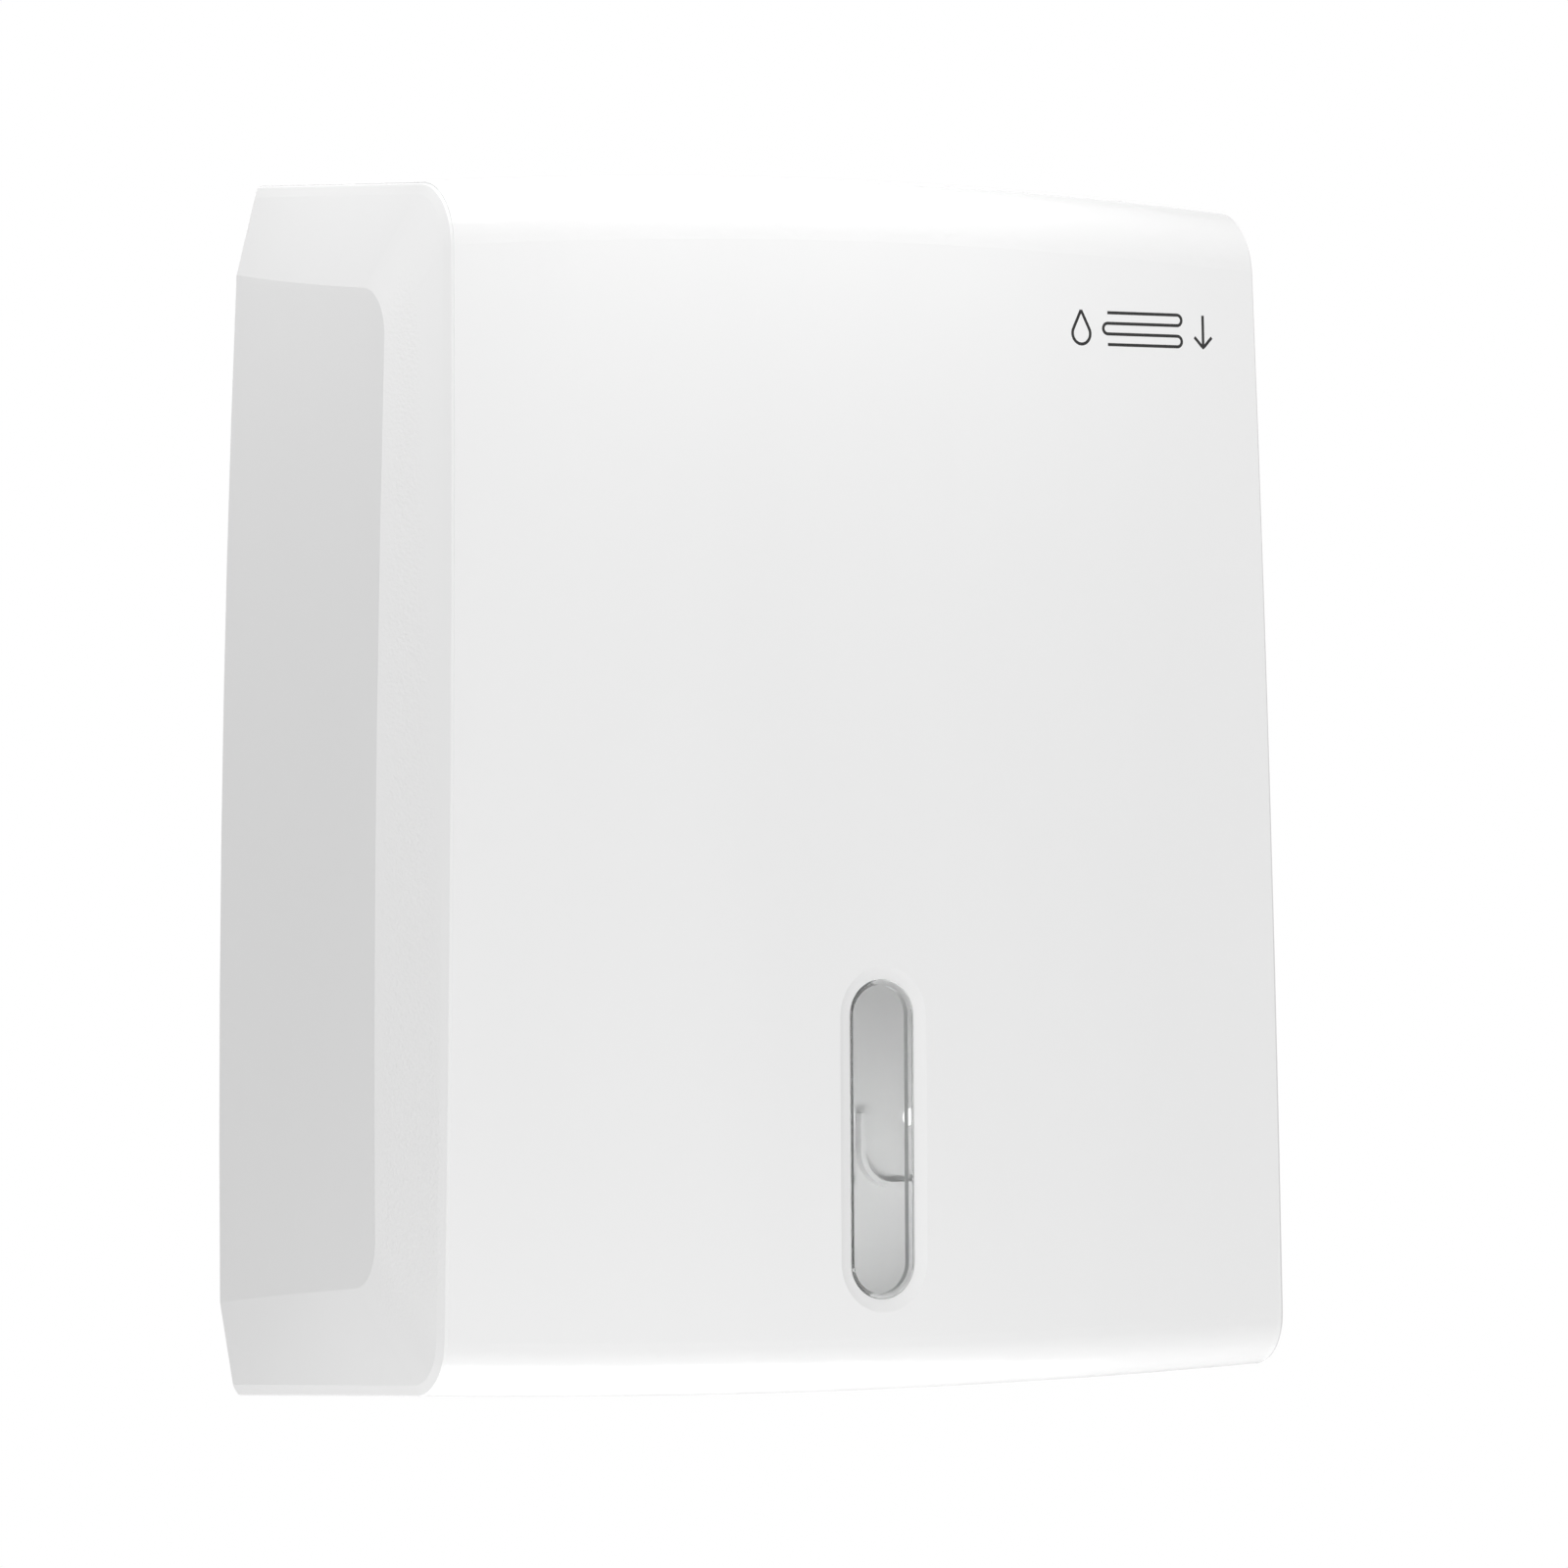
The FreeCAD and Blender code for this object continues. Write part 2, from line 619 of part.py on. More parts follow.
def window_lens():
    """Clear cup with a flange behind the cover's wall and a rounded front rim."""
    cup = stadium_slab(WINDOW_RADIUS - LENS_GAP, LENS_FRONT, LENS_BACK)
    front_edges = [edge for edge in cup.Edges if edge.BoundBox.YMax < LENS_FRONT + TOUCH]
    cup = cup.makeFillet(LENS_RIM_RADIUS, front_edges)
    flange = stadium_slab(LENS_FLANGE_RADIUS, LENS_FLANGE_FRONT, LENS_BACK)
    hollow = stadium_slab(WINDOW_RADIUS - LENS_WALL, LENS_FRONT + LENS_WALL, LENS_BACK + PAST)
    return placed_at_window(cup.fuse(flange).cut(hollow))


def window_retainer():
    """Frame that presses the lens flange against the cover."""
    outer = stadium_slab(RETAINER_RADIUS, *RETAINER_Y)
    opening = stadium_slab(RETAINER_OPENING_RADIUS, RETAINER_Y[0] - PAST, RETAINER_Y[1] + PAST)
    frame = outer.cut(opening)
    for x, z in window_screw_points():
        frame = frame.cut(cylinder_y(WINDOW_SCREW_RADIUS + HOLE_CLEARANCE, 0.0, 2 * RETAINER_Y[1], x, z))
    return placed_at_window(frame)


def window_screws():
    screw = pan_screw(WINDOW_SCREW_RADIUS, WINDOW_SCREW_LENGTH, WINDOW_SCREW_HEAD_RADIUS,
                      WINDOW_SCREW_HEAD_HEIGHT)
    screws = [stand_along(screw, Y_AXIS, Vector(x, RETAINER_Y[1], z)) for x, z in window_screw_points()]
    return placed_at_window(compound_of(screws))


# ---------------------------------------------------------------- cover
def around_pivot(radius, x0, x1):
    return cylinder_x(radius, x0, x1, PIVOT_Y, PIVOT_Z)


def swing_relief():
    """Rounds the right cheek's lower rear corner so that it swings clear of the wall."""
    corner = box_between(BOSS_INNER_X - PAST, FAR, PIVOT_Y, PAST, -FAR, PIVOT_Z)
    return corner.cut(around_pivot(-PIVOT_Y - WALL_GAP, LUG_INNER_X, FAR))


def front_cover(outer_half):
    """The one-piece shell: hollow form, hinge bosses, buffer ribs, lock pad, window and mouth."""
    hollow = cover_form(WALL, REAR_OPEN_Y)
    shell = both_sides(outer_half.cut(hollow))
    outer = both_sides(outer_half)
    rib = box_between(BUFFER_X - BUFFER_RIB_HALF_WIDTH, BUFFER_X + BUFFER_RIB_HALF_WIDTH,
                      BUFFER_RIB_FRONT_Y, BUFFER_FRONT_Y - CONTACT_GAP, BUFFER_RIB_BOTTOM, FAR)
    lock_pad = cylinder_z(LOCK_PAD_RADIUS, LOCK_PAD_BOTTOM, FAR, 0, LOCK_Y)
    hinge_boss = around_pivot(BOSS_RADIUS, BOSS_INNER_X, FAR)
    added = fuse_all([both_sides(rib), both_sides(hinge_boss), lock_pad]).common(outer)
    shell = fuse_all([shell, added, window_bosses()])

    flange_seat = LOCK_FLANGE_TOP - LOCK_FLANGE_THICKNESS
    flange_hole_radius = LOCK_FLANGE_RADIUS + CONTACT_GAP
    barrel_hole_radius = LOCK_BARREL_RADIUS + LOCK_BARREL_FIT
    bush_bore = around_pivot(BUSH_RADIUS + PIN_PRESS, BOSS_INNER_X - PAST, PIN_END_X + BUSH_END_GAP)
    notch = box_between(-NOTCH_HALF_WIDTH, NOTCH_HALF_WIDTH, -NOTCH_DEPTH, PAST, -FAR, BOTTOM_CUT_TOP)
    mouth = flat_slab(-MOUTH_HALF_WIDTH, MOUTH_HALF_WIDTH, *MOUTH_Y, MOUTH_RADIUS, -FAR, BOTTOM_CUT_TOP)
    cutters = [
        window_cutter(),
        window_pilot_holes(),
        cylinder_z(flange_hole_radius, flange_seat, FAR, 0, LOCK_Y),
        cylinder_z(barrel_hole_radius, LOCK_BARREL_BOTTOM, FAR, 0, LOCK_Y),
        both_sides(bush_bore),
        notch,
        mouth,
        both_sides(swing_relief()),
    ]
    for cutter in cutters:
        shell = shell.cut(cutter)
    return shell


def hinge_bush():
    tube = around_pivot(BUSH_RADIUS, BOSS_INNER_X, PIN_END_X)
    return tube.cut(around_pivot(PIN_RADIUS + PIN_CLEARANCE, BOSS_INNER_X - PAST, PIN_END_X + PAST))


def hinge_pin():
    """Headed pin: the head lies against the lug's inner face, the tip runs in the cover's bush."""
    shank = around_pivot(PIN_RADIUS, LUG_INNER_X, PIN_END_X)
    tip_edges = [edge for edge in shank.Edges if edge.BoundBox.XMin > PIN_END_X - TOUCH]
    shank = shank.makeChamfer(PIN_EDGE, tip_edges)
    head_x = LUG_INNER_X - PIN_HEAD_LENGTH
    head = around_pivot(PIN_HEAD_RADIUS, head_x, LUG_INNER_X)
    head_edges = [edge for edge in head.Edges if edge.BoundBox.XMax < head_x + TOUCH]
    return shank.fuse(head.makeFillet(PIN_EDGE, head_edges))


# ---------------------------------------------------------------- wall unit
def seat_points():
    """Places of the screw bosses on the wall plate."""
    points = [(side * GUIDE_SCREW_X, z) for side in (-1, 1) for z in GUIDE_SCREW_Z]
    points += [(side * TRAY_TAB_X, TRAY_SCREW_Z) for side in (-1, 1)]
    points += [(side * KEEPER_SCREW_X, KEEPER_SCREW_Z) for side in (-1, 1)]
    return points


def wall_screw_points():
    return [(x, z) for x in (-SCREW_HOLE_X, SCREW_HOLE_X) for z in SCREW_HOLE_Z]


def screw_hole_rib(x, z):
    """U-shaped rib that stiffens the plate below and beside a wall-screw hole."""
    def slab(inset, past):
        half_width = HOLE_RIB_HALF_WIDTH - inset
        half_height = HOLE_RIB_HALF_HEIGHT - inset
        return rounded_slab(x - half_width, x + half_width, z - half_height, z + half_height,
                            HOLE_RIB_RADIUS - inset, PLATE_FRONT + past, PLATE_FRONT - HOLE_RIB_HEIGHT - past)
    above = box_between(x - FAR, x + FAR, -FAR, FAR, z + HOLE_RIB_WIDTH, z + FAR)
    return slab(0, 0).cut(slab(HOLE_RIB_WIDTH, PAST)).cut(above)


def plate_rim():
    """Upright rim along the plate's sides and top."""
    def slab(inset, past):
        half_width = PLATE_HALF_WIDTH - inset
        return rounded_slab(-half_width, half_width, PLATE_BOTTOM + inset, PLATE_TOP - inset,
                            PLATE_CORNER_RADIUS - inset, -RIM_HEIGHT - past, PLATE_FRONT + past)
    below = box_between(-FAR, FAR, -FAR, FAR, -FAR, RIM_BOTTOM)
    return slab(0, 0).cut(slab(RIM_THICKNESS, PAST)).cut(below)


def bottom_ledge():
    """Rear strip of the housing's bottom, which the cover's notch leaves to the wall plate."""
    skin = cover_form(0.0, 0.0).cut(cover_form(WALL, REAR_OPEN_Y))
    strip = box_between(-PAST, LEDGE_HALF_WIDTH, -LEDGE_DEPTH, 0.0, -FAR, BOTTOM_CUT_TOP)
    return both_sides(skin.common(strip))


def hinge_lug():
    round_end = around_pivot(LUG_RADIUS, LUG_INNER_X, LUG_OUTER_X)
    root = box_between(LUG_INNER_X, LUG_OUTER_X, PIVOT_Y, 0.0, PIVOT_Z - LUG_ROOT_DROP, PIVOT_Z + LUG_RADIUS)
    return round_end.fuse(root)


def back_plate():
    """Wall plate with its rim, ledge, hinge lugs, screw bosses and wall-screw holes."""
    plate = rounded_slab(-PLATE_HALF_WIDTH, PLATE_HALF_WIDTH, PLATE_BOTTOM, PLATE_TOP, PLATE_CORNER_RADIUS,
                         PLATE_FRONT, 0.0)
    solids = [plate, plate_rim(), bottom_ledge(), both_sides(hinge_lug())]
    solids += [cylinder_y(SEAT_BOSS_RADIUS, SEAT_Y, PLATE_FRONT, x, z) for x, z in seat_points()]
    solids += [screw_hole_rib(x, z) for x, z in wall_screw_points()]
    body = fuse_all(solids)

    pilot_end = SEAT_Y - KEEPER_THICKNESS + SCREW_LENGTH + SCREW_END_GAP
    pilot_radius = SCREW_RADIUS + SCREW_FIT
    stem_radius = BUFFER_STEM_RADIUS + SCREW_FIT
    holes = [cylinder_y(SCREW_HOLE_RADIUS, -FAR, PAST, x, z) for x, z in wall_screw_points()]
    holes += [cylinder_y(pilot_radius, -FAR, pilot_end, x, z) for x, z in seat_points()]
    holes += [cylinder_y(stem_radius, -FAR, PAST, x, BUFFER_Z) for x in (-BUFFER_X, BUFFER_X)]
    holes.append(both_sides(around_pivot(PIN_RADIUS + PIN_PRESS, LUG_INNER_X - PAST, LUG_OUTER_X + PAST)))
    for hole in holes:
        body = body.cut(hole)
    return body


def fixing_screws(points, seat):
    """Identical screws driven towards the wall, with their heads on the plane Y = seat."""
    screw = pan_screw(SCREW_RADIUS, SCREW_LENGTH, SCREW_HEAD_RADIUS, SCREW_HEAD_HEIGHT)
    return compound_of([stand_along(screw, -Y_AXIS, Vector(x, seat, z)) for x, z in points])


def clearance_holes(points):
    return fuse_all([cylinder_y(SCREW_RADIUS + HOLE_CLEARANCE, -FAR, 0, x, z) for x, z in points])


def outlet_tray():
    """Floor of the paper store with low rails, the flared outlet slot and two screw tabs."""
    low, high = TRAY_FLOOR_Z
    rear = SEAT_Y

    def floor_slab(inset, z0, z1):
        half_width = TRAY_HALF_WIDTH - inset
        return flat_slab(-half_width, half_width, TRAY_FRONT_Y + inset, rear - inset,
                         TRAY_RADIUS - inset, z0, z1)

    def slot_slab(growth, z0, z1):
        half_width = SLOT_HALF_WIDTH + growth
        return flat_slab(-half_width, half_width, SLOT_Y[0] - growth, SLOT_Y[1] + growth,
                         SLOT_RADIUS + growth, z0, z1)

    rails = floor_slab(0, high, TRAY_RAIL_TOP).cut(floor_slab(TRAY_WALL, high - PAST, TRAY_RAIL_TOP + PAST))
    tab = box_between(TRAY_TAB_X - TRAY_TAB_HALF_WIDTH, TRAY_TAB_X + TRAY_TAB_HALF_WIDTH,
                      rear - FLANGE_THICKNESS, rear, TRAY_TAB_BOTTOM, low)
    funnel = slot_slab(TRAY_WALL, FUNNEL_BOTTOM, low)
    tray = fuse_all([floor_slab(0, low, high), rails, funnel, both_sides(tab)])
    tray = tray.cut(slot_slab(0, -FAR, FAR)).cut(clearance_holes(tray_screw_points()))
    slot_lip = [
        edge for edge in tray.Edges
        if abs(edge.BoundBox.ZMin - high) < TOUCH and abs(edge.BoundBox.ZMax - high) < TOUCH
        and abs(edge.CenterOfMass.x) < SLOT_HALF_WIDTH + TOUCH
        and SLOT_Y[0] - TOUCH < edge.CenterOfMass.y < SLOT_Y[1] + TOUCH
    ]
    return tray.makeFillet(SLOT_LIP_RADIUS, slot_lip)


def tray_screw_points():
    return [(-TRAY_TAB_X, TRAY_SCREW_Z), (TRAY_TAB_X, TRAY_SCREW_Z)]


def guide_screw_points(side):
    return [(side * GUIDE_SCREW_X, z) for z in GUIDE_SCREW_Z]


def paper_guide():
    """Right-hand upright guide: a web beside the stack on a foot screwed to the wall plate."""
    low, high = GUIDE_Z
    foot = box_between(GUIDE_X - GUIDE_FOOT_WIDTH, GUIDE_X + GUIDE_THICKNESS,
                       SEAT_Y - FLANGE_THICKNESS, SEAT_Y, low, high)
    profile = [
        Vector(GUIDE_X, SEAT_Y, low),
        Vector(GUIDE_X, SEAT_Y, high),
        Vector(GUIDE_X, GUIDE_FRONT_Y, high - GUIDE_TOP_FALL),
        Vector(GUIDE_X, GUIDE_FRONT_Y, low),
    ]
    outline = rounded_polygon(profile, [0, 0, GUIDE_TOP_RADIUS, GUIDE_BOTTOM_RADIUS])
    web = Part.Face(outline).extrude(Vector(GUIDE_THICKNESS, 0, 0))
    return foot.fuse(web).cut(clearance_holes(guide_screw_points(1)))


def lock_keeper():
    """Bent steel strip: foot on the plate, arm under the cam, tab in front of the locked hook."""
    foot = rounded_slab(-KEEPER_FOOT_HALF_WIDTH, KEEPER_FOOT_HALF_WIDTH, KEEPER_FOOT_BOTTOM, KEEPER_ARM_Z[1],
                        KEEPER_FOOT_RADIUS, SEAT_Y - KEEPER_THICKNESS, SEAT_Y)
    tab_rear = KEEPER_TAB_Y + KEEPER_THICKNESS
    arm = box_between(-KEEPER_ARM_HALF_WIDTH, KEEPER_ARM_HALF_WIDTH, tab_rear, SEAT_Y, *KEEPER_ARM_Z)
    tab = box_between(-KEEPER_TAB_HALF_WIDTH, KEEPER_TAB_HALF_WIDTH, KEEPER_TAB_Y, tab_rear,
                      KEEPER_ARM_Z[0], KEEPER_TAB_TOP)
    return fuse_all([foot, arm, tab]).cut(clearance_holes(keeper_screw_points()))


def keeper_screw_points():
    return [(-KEEPER_SCREW_X, KEEPER_SCREW_Z), (KEEPER_SCREW_X, KEEPER_SCREW_Z)]


def cover_buffers():
    """Rubber studs pushed into the plate."""
    studs = []
    for x in (-BUFFER_X, BUFFER_X):
        stud = cylinder_y(BUFFER_RADIUS, BUFFER_FRONT_Y, PLATE_FRONT, x, BUFFER_Z)
        front_edges = [edge for edge in stud.Edges if edge.BoundBox.YMax < BUFFER_FRONT_Y + TOUCH]
        stem = cylinder_y(BUFFER_STEM_RADIUS, PLATE_FRONT, BUFFER_STEM_END_Y, x, BUFFER_Z)
        studs.append(stud.makeFillet(BUFFER_ROUND, front_edges).fuse(stem))
    return compound_of(studs)


# ---------------------------------------------------------------- lock
def around_lock(radius, z0, z1):
    return cylinder_z(radius, z0, z1, 0, LOCK_Y)


def lock_housing():
    """Flanged barrel with a plain bore for the plug."""
    flange_bottom = LOCK_FLANGE_TOP - LOCK_FLANGE_THICKNESS
    flange = around_lock(LOCK_FLANGE_RADIUS, flange_bottom, LOCK_FLANGE_TOP)
    top_edges = [edge for edge in flange.Edges if edge.BoundBox.ZMin > LOCK_FLANGE_TOP - TOUCH]
    flange = flange.makeChamfer(LOCK_FLANGE_CHAMFER, top_edges)
    barrel = around_lock(LOCK_BARREL_RADIUS, LOCK_BARREL_BOTTOM, flange_bottom)
    bore = around_lock(LOCK_BORE_RADIUS, LOCK_BARREL_BOTTOM - PAST, LOCK_FLANGE_TOP + PAST)
    return flange.fuse(barrel).cut(bore)


def washer(outer_radius, hole_radius, top):
    """Flat washer just below the face at height top."""
    washer_top = top - STACK_GAP
    disc = around_lock(outer_radius, washer_top - WASHER_THICKNESS, washer_top)
    return disc.cut(around_lock(hole_radius, 0, FAR))


def lock_washer():
    return washer(LOCK_WASHER_RADIUS, LOCK_BARREL_RADIUS + LOCK_BARREL_FIT, LOCK_PAD_BOTTOM)


def lock_nut():
    """Hexagonal nut below the washer, with the corners of its lower face chamfered."""
    low = LOCK_PAD_BOTTOM - 2 * STACK_GAP - WASHER_THICKNESS - NUT_HEIGHT
    corners = []
    for i in range(6):
        turn = math.radians(60 * i)
        corners.append(Vector(math.cos(turn), math.sin(turn), 0) * NUT_CORNER_RADIUS + Vector(0, LOCK_Y, low))
    nut = Part.Face(polyline_wire(corners)).extrude(Vector(0, 0, NUT_HEIGHT))
    cone = Part.makeCone(NUT_LOW_RADIUS, NUT_TOP_RADIUS, NUT_HEIGHT, Vector(0, LOCK_Y, low))
    return nut.common(cone).cut(around_lock(LOCK_BARREL_RADIUS + STACK_GAP, 0, FAR))


def lock_plug():
    """Rotor with a key slot on top and a square drive for the cam below."""
    shoulder = CAM_TOP + SHOULDER_GAP
    cam_bottom = CAM_TOP - CAM_THICKNESS
    half = PLUG_SQUARE / 2
    plug = around_lock(LOCK_PLUG_RADIUS, shoulder, LOCK_FLANGE_TOP - PLUG_RECESS)
    square = box_between(-half, half, LOCK_Y - half, LOCK_Y + half, cam_bottom, shoulder)
    slot = box_between(-KEY_SLOT_HALF_LENGTH, KEY_SLOT_HALF_LENGTH, LOCK_Y - KEY_SLOT_HALF_WIDTH,
                       LOCK_Y + KEY_SLOT_HALF_WIDTH, LOCK_FLANGE_TOP - KEY_SLOT_DEPTH, FAR)
    thread_top = cam_bottom + CAM_SCREW_LENGTH
    thread = around_lock(SCREW_RADIUS + SCREW_FIT, cam_bottom - PAST, thread_top)
    return plug.fuse(square).cut(slot).cut(thread)


def ring_sector(inner, outer, start, end, z0, z1):
    """Part of a flat ring about the lock's axis between two angles in degrees."""
    def at(radius, angle):
        turn = math.radians(angle)
        return Vector(radius * math.cos(turn), LOCK_Y + radius * math.sin(turn), z0)
    middle = (start + end) / 2
    wire = Part.Wire([
        Part.Arc(at(outer, start), at(outer, middle), at(outer, end)).toShape(),
        Part.LineSegment(at(outer, end), at(inner, end)).toShape(),
        Part.Arc(at(inner, end), at(inner, middle), at(inner, start)).toShape(),
        Part.LineSegment(at(inner, start), at(outer, start)).toShape(),
    ])
    return Part.Face(wire).extrude(Vector(0, 0, z1 - z0))


def lock_cam():
    """Flat steel cam: a hub, an arm and a hook that curves round the lock's axis."""
    low = CAM_TOP - CAM_THICKNESS
    hub = around_lock(CAM_HUB_RADIUS, low, CAM_TOP)
    hook = ring_sector(HOOK_INNER_RADIUS, HOOK_OUTER_RADIUS, CAM_REST_ANGLE - HOOK_LEAD_ANGLE,
                       CAM_REST_ANGLE + HOOK_TRAIL_ANGLE, low, CAM_TOP)
    arm_end = (HOOK_INNER_RADIUS + HOOK_OUTER_RADIUS) / 2
    arm = box_between(0, arm_end, -CAM_ARM_HALF_WIDTH, CAM_ARM_HALF_WIDTH, low, CAM_TOP)
    arm.rotate(Vector(0, 0, 0), Z_AXIS, CAM_REST_ANGLE + HOOK_ARM_ANGLE)
    arm.translate(Vector(0, LOCK_Y, 0))
    half = PLUG_SQUARE / 2 + SCREW_FIT
    square = box_between(-half, half, LOCK_Y - half, LOCK_Y + half, low - PAST, CAM_TOP + PAST)
    return fuse_all([hub, arm, hook]).cut(square)


def cam_washer():
    return washer(CAM_WASHER_RADIUS, SCREW_RADIUS + HOLE_CLEARANCE, CAM_TOP - CAM_THICKNESS)


def cam_screw():
    screw = pan_screw(SCREW_RADIUS, CAM_SCREW_LENGTH, SCREW_HEAD_RADIUS, SCREW_HEAD_HEIGHT)
    seat = CAM_TOP - CAM_THICKNESS - 2 * STACK_GAP - WASHER_THICKNESS
    return stand_along(screw, -Z_AXIS, Vector(0, LOCK_Y, seat))


# ---------------------------------------------------------------- all sub-parts
outer_half = cover_form(0.0, -REAR_GAP)
guide = paper_guide()
bush = hinge_bush()
pin = hinge_pin()

save("front_cover", front_cover(outer_half))
save("window_lens", window_lens())
save("window_retainer", window_retainer())
save("window_screws", window_screws())
save("hinge_bush_right", bush)
save("hinge_bush_left", mirror_x(bush))
save("hinge_pin_right", pin)
save("hinge_pin_left", mirror_x(pin))
save("back_plate", back_plate())
save("outlet_tray", outlet_tray())
save("tray_screws", fixing_screws(tray_screw_points(), SEAT_Y - FLANGE_THICKNESS))
save("paper_guide_right", guide)
save("paper_guide_left", mirror_x(guide))
guide_screw_seats = guide_screw_points(-1) + guide_screw_points(1)
save("guide_screws", fixing_screws(guide_screw_seats, SEAT_Y - FLANGE_THICKNESS))
save("lock_keeper", lock_keeper())
save("keeper_screws", fixing_screws(keeper_screw_points(), SEAT_Y - KEEPER_THICKNESS))
save("cover_buffers", cover_buffers())
save("lock_housing", lock_housing())
save("lock_washer", lock_washer())
save("lock_nut", lock_nut())
save("lock_plug", lock_plug())
save("lock_cam", lock_cam())
save("cam_washer", cam_washer())
save("cam_screw", cam_screw())
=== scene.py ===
"""Looks of the wall-mounted folded paper towel dispenser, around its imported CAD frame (metres)."""

import bpy
import math
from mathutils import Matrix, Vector
from mathutils.bvhtree import BVHTree


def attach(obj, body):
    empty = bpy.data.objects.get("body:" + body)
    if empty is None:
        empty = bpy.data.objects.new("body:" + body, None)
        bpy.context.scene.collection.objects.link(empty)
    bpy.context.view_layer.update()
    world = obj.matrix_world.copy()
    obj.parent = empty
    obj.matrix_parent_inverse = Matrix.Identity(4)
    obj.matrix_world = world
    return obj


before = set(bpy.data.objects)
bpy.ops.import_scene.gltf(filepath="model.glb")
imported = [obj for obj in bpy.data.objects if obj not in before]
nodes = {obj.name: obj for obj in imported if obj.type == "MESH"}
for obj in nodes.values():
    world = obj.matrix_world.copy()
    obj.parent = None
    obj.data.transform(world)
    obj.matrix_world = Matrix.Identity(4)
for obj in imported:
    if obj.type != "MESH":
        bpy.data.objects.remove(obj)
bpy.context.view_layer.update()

MM = 0.001


# ---------------------------------------------------------------- camera and stage
CAMERA_AZIMUTH = 30.0           # degrees to the left of straight ahead
CAMERA_DISTANCE = 2.5245
CAMERA_SHIFT_RIGHT = 0.0353     # the aim passes this far beside the wall plane's centre
CAMERA_HEIGHT = 0.0019
CAMERA_LENS = 200.25
FLOOR_Z = -1.25                 # the dispenser hangs at hand height above the floor
FLOOR_REACH = 4.0
SENSOR_WIDTH = 36.0
VIEW_DEPTH = 100.0
ROOM_BASE = 0.488               # brightness of the room beside the object
ROOM_LEAN = (-0.26, -0.55, 0.05)    # its growth towards the left, front and top
BACKDROP_GAIN = 1.15            # how much brighter the room is straight behind the object
BACKDROP_FOCUS = 4.0            # how quickly that brightness falls off sideways
FLOOR_GREY = 0.9
FLOOR_ROUGHNESS = 0.8
WHITE = (1, 1, 1, 1)

LAMPS = (                       # name, place, aim, size and power
    ("softbox_low", (0, -0.2, -1.2), (0, -0.2, 0), (1.6, 1.6), 10.0),
    ("softbox_high", (0, -0.2, 1.2), (0, -0.2, 0), (1.6, 1.6), 7.0),
    ("strip_above", (-0.03, -0.20, 0.26), (-0.03, -0.12, 0.10), (0.24, 0.02), 0.075),
    ("strip_below", (-0.06, -0.19, -0.33), (-0.06, -0.12, -0.10), (0.29, 0.015), 0.085),
    ("strip_left", (-0.24, -0.05, 0.30), (-0.15, -0.05, 0.05), (0.02, 0.30), 0.19),
    ("strip_left_low", (-0.24, -0.10, -0.30), (-0.15, -0.10, -0.10), (0.02, 0.30), 0.06),
    ("fill_outlet", (0.05, -0.062, -0.146), (0.055, -0.03, -0.06), (0.14, 0.02), 0.048),
)


def camera_axes():
    """Level directions straight ahead of the camera and to its right."""
    turn = math.radians(CAMERA_AZIMUTH)
    return Vector((math.sin(turn), math.cos(turn), 0)), Vector((math.cos(turn), -math.sin(turn), 0))


def add_camera():
    forward, right = camera_axes()
    data = bpy.data.cameras.new("camera")
    data.lens = CAMERA_LENS
    data.sensor_width = SENSOR_WIDTH
    data.clip_end = VIEW_DEPTH
    camera = bpy.data.objects.new("camera", data)
    camera.location = right * CAMERA_SHIFT_RIGHT - forward * CAMERA_DISTANCE + Vector((0, 0, CAMERA_HEIGHT))
    camera.rotation_euler = forward.to_track_quat("-Z", "Y").to_euler()
    bpy.context.scene.collection.objects.link(camera)
    bpy.context.scene.camera = camera


def add_softbox(name, place, aim, size, power):
    data = bpy.data.lights.new(name, "AREA")
    data.shape = "RECTANGLE"
    data.size, data.size_y = size
    data.energy = power
    light = bpy.data.objects.new(name, data)
    light.location = place
    light.rotation_euler = (Vector(aim) - Vector(place)).to_track_quat("-Z", "Y").to_euler()
    bpy.context.scene.collection.objects.link(light)


